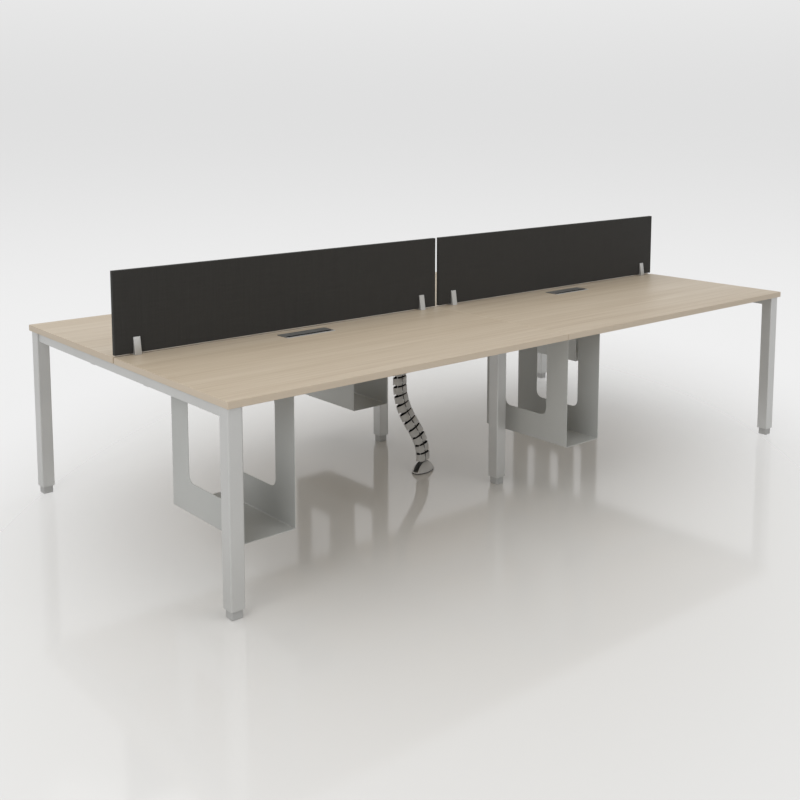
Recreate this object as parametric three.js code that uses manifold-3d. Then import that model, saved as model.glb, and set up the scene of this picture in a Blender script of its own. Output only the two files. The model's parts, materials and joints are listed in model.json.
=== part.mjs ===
// A bench desk with four seats: two worktops on each long side of a pair of low screens, carried by
// three square-tube frames, with a computer holder and a power box at each seat and one cable riser.
// Millimetres, +Z up, +X along the length. The origin is on the floor under the middle of the desk.
import * as THREE from 'three';
import { mergeVertices } from 'three/addons/utils/BufferGeometryUtils.js';
import Module from 'manifold-3d';

// Clearances
const SEAT_GAP = 0.3; // between a piece and what carries it
const SLIDE_GAP = 0.4; // round a foot in its sleeve and a stem in its nut plate
const CUTOUT_GAP = 1; // round a power box in its worktop
const CUT_OVER = 1; // how far a cutting tool runs past the face that it cuts

// Worktops
const DESK_HEIGHT = 732; // floor to worktop surface
const TOP_LENGTH = 1600;
const TOP_DEPTH = 800;
const TOP_THICKNESS = 25;
const TOP_CORNER = 3;
const TOP_EDGE = 1; // eased edge of the laminate
const TOP_SEAM = 1; // between the two tops of one side
const CENTRE_GAP = 10; // between the two sides

// Frames
const LEG_SIZE = 54;
const LEG_WALL = 2;
const LEG_CORNER = 4;
const LEG_END_INSET = 7; // from the ends of the tops
const LEG_SIDE_INSET = 13; // from the long edges of the tops
const MIDDLE_LEG_INSET = 373; // the same for the two middle legs
const BEAM_SIZE = 40;
const BEAM_WALL = 2;
const BEAM_CORNER = 3;
const MIDDLE_BEAM_INSET = 160; // from the long edges to the ends of the middle beam
const RAIL_OFFSET = 220; // centre line of the desk to the middle of a rail

// Levelling feet
const FOOT_SIZE = 42;
const FOOT_CORNER = 4;
const FOOT_CHAMFER = 2;
const FOOT_EXPOSED = 32; // below the leg
const FOOT_INSERTED = 28; // inside the leg
const STEM_RADIUS = 6;
const STEM_LENGTH = 70;
const SLEEVE_THICKNESS = 5;
const NUT_RISE = 30; // nut plate above the foot's shoulder
const NUT_THICKNESS = 6;

// Screens and their clamps
const SCREEN_THICKNESS = 18;
const SCREEN_HEIGHT = 316;
const SCREEN_LIFT = 6; // above the worktops
const SCREEN_END_INSET = 3; // from the ends of the tops
const SCREEN_SPACING = 22; // between the two screens
const SCREEN_EDGE = 1.5;
const CLAMP_WIDTH = 28;
const CLAMP_HEIGHT = 68;
const CLAMP_FOOT_WALL = 16; // cheek thickness at the worktop
const CLAMP_TIP_WALL = 5; // cheek thickness at the top
const CLAMP_INSET = 88; // end of a screen to the middle of a clamp
const CLAMP_EDGE = 0.8;

// Power boxes
const POWER_LENGTH = 238;
const POWER_WIDTH = 80;
const POWER_CORNER = 4;
const POWER_OFFSET = 100; // centre line of the desk to the middle of a box
const POWER_FLANGE = 6; // how far the frame overlaps the worktop
const POWER_FRAME_THICKNESS = 2;
const TUB_WALL = 2;
const TUB_DEPTH = 76; // below the worktop surface
const LID_THICKNESS = 2.5;
const LID_END_GAP = 0.6;
const CABLE_SLOT = 11; // between the lid and the user's side of the frame
const BARREL_RADIUS = 3;
const BARREL_GAP = 0.8;
const PIN_RADIUS = 1.5;
const PIN_GAP = 0.3;
const LID_REST_LENGTH = 9;
const LID_REST_OVERLAP = 5;
const LID_REST_HEIGHT = 6;
const SOCKET_BAR_LENGTH = 190;
const SOCKET_BAR_WIDTH = 46;
const SOCKET_BAR_HEIGHT = 20;
const SOCKET_COUNT = 3;
const SOCKET_PITCH = 58;
const SOCKET_RADIUS = 19;
const SOCKET_DEPTH = 9;

// Computer holders
const HOLDER_WIDTH = 204;
const HOLDER_LENGTH = 473;
const HOLDER_HEIGHT = 480;
const HOLDER_SHEET = 2;
const HOLDER_BEND = 3; // inside radius of the bends
const HOLDER_FLANGE = 24;
const HOLDER_EDGE_INSET = 60; // from the long edge of the top
const HOLDER_END_GAP = 3; // end leg to the holder's flange
const HOLDER_MIDDLE_GAP = 17; // middle leg to the holder's flange
const WINDOW_SIDE = 116; // sheet left in front of and behind a window
const WINDOW_BELOW = 115;
const WINDOW_ABOVE = 42;
const WINDOW_CORNER = 30;

// Cable riser
const RISER_X = -221; // where it hangs from the tops
const RISER_Y = -3;
const RISER_AZIMUTH = -40; // compass direction in which the riser bends, degrees from +X
const LINK_COUNT = 16;
const SWING_LINK = 12; // the riser leans most below this link
const UPPER_BEND_LINKS = 6;
const LOWER_BEND_LINKS = 4;
const GREATEST_LEAN = 30; // degrees
const HANGER_PLATE = 4;
const HANGER_DROP = 17; // underside of the tops to the first ball
const SHELL_LENGTH = 93; // of the oval shells
const SHELL_WIDTH = 44;
const SHELL_AZIMUTH = 18; // compass direction of their length, degrees from +X
const SHELL_WALL = 2.5;
const SHELL_SPACING = 8.5; // between one shell and the next
const SLIT_WIDTH = 4.5;
const SLIT_LEAN = -30; // from square across the shell, degrees
const RIM_RELIEF = 8; // how far a shell's lower rim is cut back at its ends
const WEB_THICKNESS = 3;
const WEB_HEIGHT = 16;
const WEB_RISE = 12; // lower ball to the underside of the web
const BALL_RADIUS = 6.5;
const BALL_NECK = 3.6;
const CUP_RADIUS = 10.5;
const CUP_RIM = 3.5; // rim of the cup above the ball's middle
const CUP_PLAY = 1; // round the ball's middle
const CUP_MOUTH_GAP = 0.5; // round the ball at the rim
const BASE_LENGTH = 142; // of the oval base
const BASE_WIDTH = 80;
const BASE_TOP_LENGTH = 52;
const DOME_CURVE = 76; // radius of the dome's side, seen in section
const BASE_HEIGHT = 44;
const BASE_RIM = 5;
const BASE_EDGE = 1;
const BASE_LIFT = 1.5; // it hangs this far above the floor
const BASE_BALL_RISE = 4; // top of the dome to the last ball
const NOTCH_WIDTH = 25;
const NOTCH_FLOOR = 10;

// Facets
const CORNER_STEPS = 1; // two facets to each rounded corner
const BEND_STEPS = 2;
const ROUND_STEPS = 5;
const PIN_STEPS = 4;
const BALL_FACETS = 10;
const BALL_ANGLES = [-45, 0, 35]; // degrees above the ball's middle, between its lowest point and its neck
const SHELL_STEPS = 8;
const DOME_FACETS = 20;
const DOME_STEPS = 5;

// Sizes that follow
const DESK_HALF_LENGTH = TOP_LENGTH + TOP_SEAM / 2;
const DESK_HALF_DEPTH = TOP_DEPTH + CENTRE_GAP / 2;
const UNDERSIDE = DESK_HEIGHT - TOP_THICKNESS;
const FRAME_TOP = UNDERSIDE - SEAT_GAP;
const BEAM_LEVEL = FRAME_TOP - BEAM_SIZE / 2;
const END_LEG_X = DESK_HALF_LENGTH - LEG_END_INSET - LEG_SIZE / 2;
const END_LEG_Y = DESK_HALF_DEPTH - LEG_SIDE_INSET - LEG_SIZE / 2;
const MIDDLE_LEG_Y = DESK_HALF_DEPTH - MIDDLE_LEG_INSET - LEG_SIZE / 2;
const SHELL_TURN = radians(SHELL_AZIMUTH - RISER_AZIMUTH); // in the riser's own frame

const FINISH = {
  oak: { color: 0xc1b29d, roughness: 0.55, metalness: 0 },
  steel: { color: 0xbababa, roughness: 0.45, metalness: 0.15 },
  foot: { color: 0xa6a6a4, roughness: 0.5, metalness: 0.1 },
  sheet: { color: 0xb0b1b0, roughness: 0.5, metalness: 0.15 },
  fabric: { color: 0x363533, roughness: 0.9, metalness: 0 },
  clamp: { color: 0xaaa9a4, roughness: 0.4, metalness: 0.5 },
  tub: { color: 0x3a3a3a, roughness: 0.6, metalness: 0 },
  lid: { color: 0x8c8c89, roughness: 0.35, metalness: 0.7 },
  riser: { color: 0x979590, roughness: 0.55, metalness: 0 },
};

const wasm = await Module();
wasm.setup();

// A closed solid for joining and cutting, from a geometry.
function solid(geometry) {
  const plain = geometry.clone();
  plain.deleteAttribute('normal');
  plain.deleteAttribute('uv');
  const welded = mergeVertices(plain);
  const corners = welded.index.array;
  const triangles = [];
  for (let i = 0; i < corners.length; i += 3) {
    const [a, b, c] = corners.slice(i, i + 3);
    if (a !== b && b !== c && c !== a) triangles.push(a, b, c);
  }
  return new wasm.Manifold(new wasm.Mesh({
    numProp: 3,
    vertProperties: new Float32Array(welded.attributes.position.array),
    triVerts: new Uint32Array(triangles),
  }));
}

// The geometry of a first body with the others joined to it and the cuts taken out of the whole.
function shaped(bodies, cuts = []) {
  let whole = solid(bodies[0]);
  for (const body of bodies.slice(1)) whole = whole.add(solid(body));
  for (const cut of cuts) whole = whole.subtract(solid(cut));
  const { vertProperties, triVerts } = whole.getMesh();
  const geometry = new THREE.BufferGeometry();
  geometry.setAttribute('position', new THREE.BufferAttribute(vertProperties, 3));
  geometry.setIndex(new THREE.BufferAttribute(triVerts, 1));
  geometry.computeVertexNormals();
  return geometry;
}

function piece(name, geometry, finish) {
  const mesh = new THREE.Mesh(geometry, new THREE.MeshStandardMaterial(finish));
  mesh.name = name;
  return mesh;
}

function radians(degrees) {
  return THREE.MathUtils.degToRad(degrees);
}

// A rectangle round the origin, with rounded corners.
function roundedRectangle(width, height, radius) {
  const x = width / 2 - radius;
  const y = height / 2 - radius;
  const outline = new THREE.Shape();
  outline.absarc(x, -y, radius, radians(-90), 0);
  outline.absarc(x, y, radius, 0, radians(90));
  outline.absarc(-x, y, radius, radians(90), radians(180));
  outline.absarc(-x, -y, radius, radians(180), radians(270));
  return outline;
}

function disc(radius) {
  return new THREE.Shape().absarc(0, 0, radius, 0, radians(360));
}

function oval(length, width) {
  return new THREE.Shape().absellipse(0, 0, length / 2, width / 2, 0, radians(360));
}

// An outline raised from one height to another.
function raised(outline, low, high, steps = CORNER_STEPS) {
  const geometry = new THREE.ExtrudeGeometry(outline, {
    depth: high - low,
    bevelEnabled: false,
    curveSegments: steps,
  });
  return geometry.translate(0, 0, low);
}

// The same with its upper and lower edges eased, inside the outline.
function eased(outline, low, high, edge, steps = CORNER_STEPS) {
  const geometry = new THREE.ExtrudeGeometry(outline, {
    depth: high - low - 2 * edge,
    bevelThickness: edge,
    bevelSize: edge,
    bevelOffset: -edge,
    bevelSegments: 1,
    curveSegments: steps,
  });
  return geometry.translate(0, 0, low + edge);
}

// Turns a raised outline so that it runs along +X, with the outline's own axes on Y and Z.
function alongX(geometry) {
  const basis = new THREE.Matrix4().makeBasis(
    new THREE.Vector3(0, 1, 0), new THREE.Vector3(0, 0, 1), new THREE.Vector3(1, 0, 0));
  return geometry.applyMatrix4(basis);
}

// Turns a raised outline so that it runs along -Y, with the outline's own axes on X and Z.
function alongY(geometry) {
  const basis = new THREE.Matrix4().makeBasis(
    new THREE.Vector3(1, 0, 0), new THREE.Vector3(0, 0, 1), new THREE.Vector3(0, -1, 0));
  return geometry.applyMatrix4(basis);
}

// A profile of [radius, height] points turned round the vertical axis.
function turned(profile, facets) {
  const points = profile.map(([radius, height]) => new THREE.Vector2(radius, height));
  return new THREE.LatheGeometry(points, facets).rotateX(Math.PI / 2);
}

// A square tube's section.
function tubeSection(size, wall, corner) {
  const section = roundedRectangle(size, size, corner);
  section.holes.push(roundedRectangle(size - 2 * wall, size - 2 * wall, corner - wall / 2));
  return section;
}

// Worktop, with its cut-out for the power box, round the middle of its own surface.
function worktopGeometry() {
  const slab = eased(roundedRectangle(TOP_LENGTH, TOP_DEPTH, TOP_CORNER), -TOP_THICKNESS, 0, TOP_EDGE);
  const cutLength = POWER_LENGTH - 2 * POWER_FLANGE + 2 * CUTOUT_GAP;
  const cutWidth = POWER_WIDTH - 2 * POWER_FLANGE + 2 * CUTOUT_GAP;
  const cutOutline = roundedRectangle(cutLength, cutWidth, POWER_CORNER);
  const cut = raised(cutOutline, -TOP_THICKNESS - CUT_OVER, CUT_OVER);
  cut.translate(0, DESK_HALF_DEPTH - TOP_DEPTH / 2 - POWER_OFFSET, 0);
  return shaped([slab], [cut]);
}

// Power box round the middle of its frame, at the worktop surface, with the user on the -Y side.
const FRAME_SURFACE = SEAT_GAP + POWER_FRAME_THICKNESS;
const WELL_LENGTH = POWER_LENGTH - 2 * (POWER_FLANGE + TUB_WALL);
const WELL_WIDTH = POWER_WIDTH - 2 * (POWER_FLANGE + TUB_WALL);
const HINGE_Y = WELL_WIDTH / 2 - BARREL_GAP - BARREL_RADIUS;
const HINGE_Z = FRAME_SURFACE - BARREL_RADIUS;
const LID_REACH = HINGE_Y + WELL_WIDTH / 2 - CABLE_SLOT; // hinge to the lid's free edge

function lidRest(end) {
  const top = FRAME_SURFACE - LID_THICKNESS - SEAT_GAP;
  const depth = CABLE_SLOT + LID_REST_OVERLAP + TUB_WALL / 2;
  const rest = new THREE.BoxGeometry(LID_REST_LENGTH + TUB_WALL / 2, depth, LID_REST_HEIGHT);
  return rest.translate(
    end * (WELL_LENGTH / 2 + TUB_WALL / 2 - (LID_REST_LENGTH + TUB_WALL / 2) / 2),
    -WELL_WIDTH / 2 - TUB_WALL / 2 + depth / 2,
    top - LID_REST_HEIGHT / 2);
}

function powerTubGeometry() {
  const floor = TUB_WALL - TUB_DEPTH;
  const barTop = floor + SOCKET_BAR_HEIGHT;
  const frame = raised(roundedRectangle(POWER_LENGTH, POWER_WIDTH, POWER_CORNER), SEAT_GAP, FRAME_SURFACE);
  const shell = raised(
    roundedRectangle(WELL_LENGTH + 2 * TUB_WALL, WELL_WIDTH + 2 * TUB_WALL, POWER_CORNER),
    -TUB_DEPTH, FRAME_SURFACE - POWER_FRAME_THICKNESS / 2);
  const well = raised(
    roundedRectangle(WELL_LENGTH, WELL_WIDTH, POWER_CORNER - TUB_WALL), floor, FRAME_SURFACE + CUT_OVER);
  const bar = raised(
    roundedRectangle(SOCKET_BAR_LENGTH, SOCKET_BAR_WIDTH, POWER_CORNER), floor - TUB_WALL / 2, barTop);
  const sockets = [];
  for (let i = 0; i < SOCKET_COUNT; i += 1) {
    const socket = raised(disc(SOCKET_RADIUS), barTop - SOCKET_DEPTH, barTop + CUT_OVER, ROUND_STEPS);
    sockets.push(socket.translate((i - (SOCKET_COUNT - 1) / 2) * SOCKET_PITCH, 0, 0));
  }
  const boreLength = WELL_LENGTH + 2 * TUB_WALL + 2 * CUT_OVER;
  const bore = alongX(raised(disc(PIN_RADIUS + PIN_GAP), -boreLength / 2, boreLength / 2, PIN_STEPS));
  bore.translate(0, HINGE_Y, HINGE_Z);
  const hollow = shaped([frame, shell], [well, bore]);
  return shaped([hollow, shaped([bar], sockets), lidRest(-1), lidRest(1)]);
}

// Lid round its hinge axis: a plate with a hinge barrel along its edge and a pin at each end.
function powerLidGeometry() {
  const top = BARREL_RADIUS;
  const underside = top - LID_THICKNESS;
  const outline = new THREE.Shape();
  outline.moveTo(-LID_REACH, top);
  outline.lineTo(-LID_REACH, underside);
  outline.absarc(0, 0, BARREL_RADIUS, Math.PI - Math.asin(underside / BARREL_RADIUS), radians(450));
  const length = WELL_LENGTH - 2 * LID_END_GAP;
  const plate = alongX(raised(outline, -length / 2, length / 2, ROUND_STEPS));
  const pinLength = WELL_LENGTH + 2 * TUB_WALL - 2 * PIN_GAP;
  const pin = alongX(raised(disc(PIN_RADIUS), -pinLength / 2, pinLength / 2, PIN_STEPS));
  return shaped([plate, pin]);
}

// Computer holder: sheet bent into a U with flanges turned out at the top, and a window in each
// side. Its flanges' upper face is at height 0 and its user's end at y = 0.
function holderGeometry() {
  const half = HOLDER_WIDTH / 2;
  const bend = HOLDER_BEND;
  const outerBend = HOLDER_BEND + HOLDER_SHEET;
  const inner = half - HOLDER_SHEET;
  const flangeEnd = half + HOLDER_FLANGE;
  const flangeUnder = -HOLDER_SHEET;
  const shoulder = flangeUnder - bend;
  const base = -HOLDER_HEIGHT;
  const outline = new THREE.Shape();
  outline.absarc(half - outerBend, base + outerBend, outerBend, radians(-90), 0);
  outline.absarc(half + bend, shoulder, bend, radians(180), radians(90), true);
  outline.lineTo(flangeEnd, flangeUnder);
  outline.lineTo(flangeEnd, 0);
  outline.absarc(half + bend, shoulder, outerBend, radians(90), radians(180));
  outline.absarc(inner - bend, base + outerBend, bend, 0, radians(-90), true);
  outline.absarc(bend - inner, base + outerBend, bend, radians(-90), radians(-180), true);
  outline.absarc(-half - bend, shoulder, outerBend, 0, radians(90));
  outline.lineTo(-flangeEnd, 0);
  outline.lineTo(-flangeEnd, flangeUnder);
  outline.absarc(-half - bend, shoulder, bend, radians(90), 0, true);
  outline.absarc(outerBend - half, base + outerBend, outerBend, radians(180), radians(270));
  const sheet = alongY(raised(outline, -HOLDER_LENGTH, 0, BEND_STEPS));
  const windowLength = HOLDER_LENGTH - 2 * WINDOW_SIDE;
  const windowHeight = HOLDER_HEIGHT - WINDOW_BELOW - WINDOW_ABOVE;
  const reach = half + CUT_OVER;
  const opening = alongX(raised(
    roundedRectangle(windowLength, windowHeight, WINDOW_CORNER), -reach, reach, BEND_STEPS));
  opening.translate(0, HOLDER_LENGTH / 2, base + WINDOW_BELOW + windowHeight / 2);
  return shaped([sheet], [opening]);
}

// One long side of the desk: two seats with what each of them carries.
function deskSide(sideName, seatNames) {
  const side = new THREE.Group();
  const topGeometry = worktopGeometry();
  const tubGeometry = powerTubGeometry();
  const lidGeometry = powerLidGeometry();
  const bentGeometry = holderGeometry();
  const seatX = DESK_HALF_LENGTH - TOP_LENGTH / 2;
  const holderStarts = [
    HOLDER_END_GAP + LEG_SIZE / 2 - END_LEG_X,
    HOLDER_MIDDLE_GAP + LEG_SIZE / 2,
  ];
  seatNames.forEach((seatName, index) => {
    const label = `${sideName}_${seatName}`;
    const x = index === 0 ? -seatX : seatX;
    const top = piece(`${label}_worktop`, topGeometry, FINISH.oak);
    top.position.set(x, TOP_DEPTH / 2 - DESK_HALF_DEPTH, DESK_HEIGHT);
    const tub = piece(`${label}_power_tub`, tubGeometry, FINISH.tub);
    tub.position.set(x, -POWER_OFFSET, DESK_HEIGHT);
    const lid = piece(`${label}_power_lid`, lidGeometry, FINISH.lid);
    lid.position.set(x, HINGE_Y - POWER_OFFSET, DESK_HEIGHT + HINGE_Z);
    const holder = piece(`${label}_computer_holder`, bentGeometry, FINISH.sheet);
    const holderX = holderStarts[index] + HOLDER_FLANGE + HOLDER_WIDTH / 2;
    holder.position.set(holderX, HOLDER_EDGE_INSET - DESK_HALF_DEPTH, FRAME_TOP);
    side.add(top, tub, lid, holder);
  });
  return side;
}

// Leg tube with a sleeve that guides the foot and a plate that holds its stem, round its own axis.
function legGeometry(top) {
  const tube = raised(tubeSection(LEG_SIZE, LEG_WALL, LEG_CORNER), FOOT_EXPOSED, top);
  const plateSize = LEG_SIZE - LEG_WALL;
  const plate = roundedRectangle(plateSize, plateSize, LEG_CORNER);
  const sleeveTop = FOOT_EXPOSED + SLEEVE_THICKNESS;
  const nutLevel = FOOT_EXPOSED + FOOT_INSERTED + NUT_RISE;
  const nutTop = nutLevel + NUT_THICKNESS;
  const sleeveSize = FOOT_SIZE + 2 * SLIDE_GAP;
  const sleeveHole = roundedRectangle(sleeveSize, sleeveSize, FOOT_CORNER);
  const stemHole = disc(STEM_RADIUS + SLIDE_GAP);
  return shaped(
    [tube, raised(plate, FOOT_EXPOSED, sleeveTop), raised(plate, nutLevel, nutTop)],
    [
      raised(sleeveHole, FOOT_EXPOSED - CUT_OVER, sleeveTop + CUT_OVER),
      raised(stemHole, nutLevel - CUT_OVER, nutTop + CUT_OVER, ROUND_STEPS),
    ]);
}

function footGeometry() {
  const shoulder = FOOT_EXPOSED + FOOT_INSERTED;
  const block = eased(roundedRectangle(FOOT_SIZE, FOOT_SIZE, FOOT_CORNER), 0, shoulder, FOOT_CHAMFER);
  const stem = raised(disc(STEM_RADIUS), shoulder - FOOT_CHAMFER, shoulder + STEM_LENGTH, ROUND_STEPS);
  return shaped([block, stem]);
}

// Three frames across the desk, their feet, and the rails that join them.
function frames() {
  const group = new THREE.Group();
  const foot = footGeometry();
  const section = tubeSection(BEAM_SIZE, BEAM_WALL, BEAM_CORNER);
  const endBeamHalf = END_LEG_Y - LEG_SIZE / 2 - SEAT_GAP;
  const middleBeamHalf = DESK_HALF_DEPTH - MIDDLE_BEAM_INSET;
  const underBeam = FRAME_TOP - BEAM_SIZE - SEAT_GAP;
  const stations = [
    { name: 'left', x: -END_LEG_X, legY: END_LEG_Y, top: FRAME_TOP, beamHalf: endBeamHalf },
    { name: 'middle', x: 0, legY: MIDDLE_LEG_Y, top: underBeam, beamHalf: middleBeamHalf },
    { name: 'right', x: END_LEG_X, legY: END_LEG_Y, top: FRAME_TOP, beamHalf: endBeamHalf },
  ];
  for (const { name, x, legY, top, beamHalf } of stations) {
    const beam = piece(`${name}_cross_beam`, alongY(raised(section, -beamHalf, beamHalf)), FINISH.steel);
    beam.position.set(x, 0, BEAM_LEVEL);
    group.add(beam);
    const leg = legGeometry(top);
    for (const [side, y] of [['near', -legY], ['far', legY]]) {
      const legPiece = piece(`${name}_${side}_leg`, leg, FINISH.steel);
      const footPiece = piece(`${name}_${side}_foot`, foot, FINISH.foot);
      legPiece.position.set(x, y, 0);
      footPiece.position.set(x, y, 0);
      group.add(legPiece, footPiece);
    }
  }
  const railStart = BEAM_SIZE / 2 + SEAT_GAP;
  const railEnd = END_LEG_X - BEAM_SIZE / 2 - SEAT_GAP;
  const rail = alongX(raised(section, railStart, railEnd));
  for (const [side, y] of [['near', -RAIL_OFFSET], ['far', RAIL_OFFSET]]) {
    const right = piece(`${side}_right_rail`, rail, FINISH.steel);
    right.position.set(0, y, BEAM_LEVEL);
    const left = piece(`${side}_left_rail`, rail, FINISH.steel);
    left.position.set(-railStart - railEnd, y, BEAM_LEVEL);
    group.add(right, left);
  }
  return group;
}

// Clamp: two cheeks that lean in towards the screen between them, on a foot across the centre gap.
function clampGeometry() {
  const slotHalf = SCREEN_THICKNESS / 2 + SEAT_GAP;
  const footHalf = slotHalf + CLAMP_FOOT_WALL;
  const tipHalf = slotHalf + CLAMP_TIP_WALL;
  const slotFloor = SCREEN_LIFT - SEAT_GAP;
  const outline = new THREE.Shape();
  outline.moveTo(-footHalf, SEAT_GAP);
  outline.lineTo(footHalf, SEAT_GAP);
  outline.lineTo(tipHalf, CLAMP_HEIGHT);
  outline.lineTo(slotHalf, CLAMP_HEIGHT);
  outline.lineTo(slotHalf, slotFloor);
  outline.lineTo(-slotHalf, slotFloor);
  outline.lineTo(-slotHalf, CLAMP_HEIGHT);
  outline.lineTo(-tipHalf, CLAMP_HEIGHT);
  outline.closePath();
  return alongX(eased(outline, -CLAMP_WIDTH / 2, CLAMP_WIDTH / 2, CLAMP_EDGE));
}

function screens() {
  const group = new THREE.Group();
  const length = DESK_HALF_LENGTH - SCREEN_END_INSET - SCREEN_SPACING / 2;
  const outline = roundedRectangle(length, SCREEN_HEIGHT, SCREEN_EDGE);
  const panel = alongY(eased(outline, -SCREEN_THICKNESS / 2, SCREEN_THICKNESS / 2, SCREEN_EDGE));
  const clampShape = clampGeometry();
  for (const [name, sign] of [['left', -1], ['right', 1]]) {
    const middle = SCREEN_SPACING / 2 + length / 2;
    const screen = piece(`${name}_screen`, panel, FINISH.fabric);
    screen.position.set(sign * middle, 0, DESK_HEIGHT + SCREEN_LIFT + SCREEN_HEIGHT / 2);
    group.add(screen);
    for (const [place, toEnd] of [['inner', -1], ['outer', 1]]) {
      const clamp = piece(`${name}_screen_${place}_clamp`, clampShape, FINISH.clamp);
      clamp.position.set(sign * (middle + toEnd * (length / 2 - CLAMP_INSET)), 0, DESK_HEIGHT);
      group.add(clamp);
    }
  }
  return group;
}

// Profiles of the riser's ball, from its lowest point to its neck, and of its cup, from the rim to
// the bottom. Heights are from the ball's middle.
function ballProfile(middle) {
  const points = [[0, middle - BALL_RADIUS]];
  for (const angle of BALL_ANGLES) {
    points.push([BALL_RADIUS * Math.cos(radians(angle)), middle + BALL_RADIUS * Math.sin(radians(angle))]);
  }
  points.push([BALL_NECK, middle + Math.sqrt(BALL_RADIUS ** 2 - BALL_NECK ** 2)]);
  return points;
}

function cupProfile(middle) {
  const cavity = BALL_RADIUS + CUP_PLAY;
  const mouth = Math.sqrt((BALL_RADIUS + CUP_MOUTH_GAP) ** 2 - CUP_RIM ** 2);
  return [
    [CUP_RADIUS, middle + CUP_RIM],
    [mouth, middle + CUP_RIM],
    [cavity, middle],
    [cavity * Math.cos(radians(45)), middle - cavity * Math.sin(radians(45))],
    [0, middle - cavity],
  ];
}

// How far a link leans from the vertical, in radians: most at SWING_LINK, easing off both ways.
function linkLean(link) {
  const away = link - 0.5 - SWING_LINK;
  const bend = away < 0 ? UPPER_BEND_LINKS : LOWER_BEND_LINKS;
  const share = Math.min(Math.abs(away) / bend, 1);
  return radians(GREATEST_LEAN) * (1 + Math.cos(Math.PI * share)) / 2;
}

// Vertebra round its upper joint: an oval shell with a slit in each long side and its lower rim cut
// back at both ends, a web along it, and a core with a cup at the top for the ball above and a ball
// at the bottom for the cup below.
function vertebraGeometry(pitch) {
  const shellTop = -SHELL_SPACING / 2;
  const shellBottom = SHELL_SPACING / 2 - pitch;
  const ring = oval(SHELL_LENGTH, SHELL_WIDTH);
  ring.holes.push(oval(SHELL_LENGTH - 2 * SHELL_WALL, SHELL_WIDTH - 2 * SHELL_WALL));
  const shell = raised(ring, shellBottom, shellTop, SHELL_STEPS);
  const slits = new THREE.BoxGeometry(SLIT_WIDTH, SHELL_LENGTH, pitch);
  slits.translate(0, 0, -pitch / 2).rotateZ(radians(SLIT_LEAN));
  const reliefs = [-1, 1].map((end) => {
    const side = RIM_RELIEF * Math.sqrt(2);
    const relief = new THREE.BoxGeometry(side, SHELL_WIDTH, side);
    return relief.rotateY(radians(45)).translate(end * SHELL_LENGTH / 2, 0, shellBottom);
  });
  const web = new THREE.BoxGeometry(SHELL_LENGTH - SHELL_WALL, WEB_THICKNESS, WEB_HEIGHT);
  web.translate(0, 0, WEB_RISE + WEB_HEIGHT / 2 - pitch);
  const core = turned([
    ...ballProfile(-pitch),
    [CUP_RADIUS, -BALL_RADIUS - CUP_PLAY - SHELL_WALL],
    ...cupProfile(0),
  ], BALL_FACETS);
  const halves = shaped([shell], [slits, ...reliefs]);
  return shaped([halves, web, core]).rotateZ(SHELL_TURN);
}

function hangerGeometry() {
  const top = HANGER_DROP - SEAT_GAP;
  const middle = top - HANGER_PLATE / 2;
  const plate = raised(oval(SHELL_LENGTH, SHELL_WIDTH), top - HANGER_PLATE, top, SHELL_STEPS);
  const ball = turned([...ballProfile(0), [BALL_NECK, middle], [0, middle]], BALL_FACETS);
  return shaped([plate, ball]).rotateZ(SHELL_TURN);
}

// Weighted base round its ball's middle: an oval dome with a cup at its top, and a notch at one end
// that lets the cables out.
function baseGeometry() {
  const floor = -BASE_HEIGHT - BASE_BALL_RISE;
  const rim = new THREE.Vector2(BASE_LENGTH / 2, floor + BASE_RIM);
  const across = new THREE.Vector2(BASE_TOP_LENGTH / 2, floor + BASE_HEIGHT).sub(rim);
  const slope = across.angle() - Math.PI / 2;
  const halfArc = Math.asin(across.length() / 2 / DOME_CURVE);
  const centre = new THREE.Vector2(Math.cos(slope), Math.sin(slope));
  centre.multiplyScalar(-DOME_CURVE * Math.cos(halfArc)).addScaledVector(across, 1 / 2).add(rim);
  const profile = [[0, floor + BASE_LIFT], [BASE_LENGTH / 2 - BASE_EDGE, floor + BASE_LIFT]];
  for (let i = 0; i <= DOME_STEPS; i += 1) {
    const angle = slope + (2 * i / DOME_STEPS - 1) * halfArc;
    profile.push([centre.x + DOME_CURVE * Math.cos(angle), centre.y + DOME_CURVE * Math.sin(angle)]);
  }
  profile.push([0, -BASE_BALL_RISE]);
  const dome = turned(profile, DOME_FACETS).scale(1, BASE_WIDTH / BASE_LENGTH, 1);
  const cupFloor = -BALL_RADIUS - CUP_PLAY - SHELL_WALL;
  const cup = turned([[0, cupFloor], [CUP_RADIUS, cupFloor], ...cupProfile(0)], BALL_FACETS);
  const wellRadius = (CUP_RADIUS + BALL_RADIUS + CUP_PLAY) / 2;
  const well = raised(disc(wellRadius), cupFloor + SHELL_WALL / 2, CUT_OVER, ROUND_STEPS);
  const notchLength = BASE_LENGTH / 2 + CUT_OVER - CUP_RADIUS;
  const notch = new THREE.BoxGeometry(notchLength, NOTCH_WIDTH, BASE_HEIGHT);
  notch.translate(-CUP_RADIUS - notchLength / 2, 0, floor + NOTCH_FLOOR + BASE_HEIGHT / 2);
  return shaped([shaped([dome], [notch, well]), cup]).rotateZ(SHELL_TURN);
}

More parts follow.
